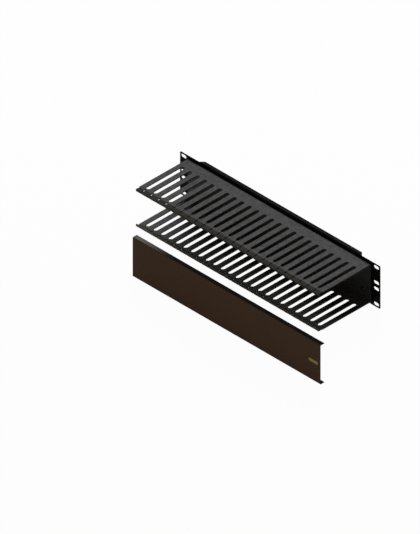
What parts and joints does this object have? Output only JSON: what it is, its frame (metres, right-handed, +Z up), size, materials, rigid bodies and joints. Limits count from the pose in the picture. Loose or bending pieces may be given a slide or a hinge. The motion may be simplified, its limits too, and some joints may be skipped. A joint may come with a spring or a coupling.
{
  "type": "horizontal cable manager",
  "caption": "Rack-mount horizontal cable manager: a flat rack panel carrying a slotted channel with fingers above and below, and a front cover that clips over their ends.",
  "frame": {"origin": "centre of the panel's rear face, in the plane that bolts to the rack's rails", "axes": "+X to the right seen from the front, +Y to the rear along the mounting screws, +Z up"},
  "size_m": [0.5731, 0.2423, 0.0882],
  "materials": {
    "panel_coat": "satin powder coat",
    "channel_coat": "satin powder coat",
    "cover_coat": "satin powder coat",
    "fastener": "black finished steel"
  },
  "bodies": {
    "manager": {"rack_panel": "panel_coat", "slotted_channel": "channel_coat", "channel_screws": "fastener", "channel_nuts": "fastener"},
    "cover": {"front_cover": "cover_coat"}
  },
  "joints": [
    {"name": "cover_pull_off", "type": "slide", "parent": "manager", "child": "cover", "axis": [0.7071, -0.7071, 0], "range_m": [-0.14906, 0]}
  ]
}
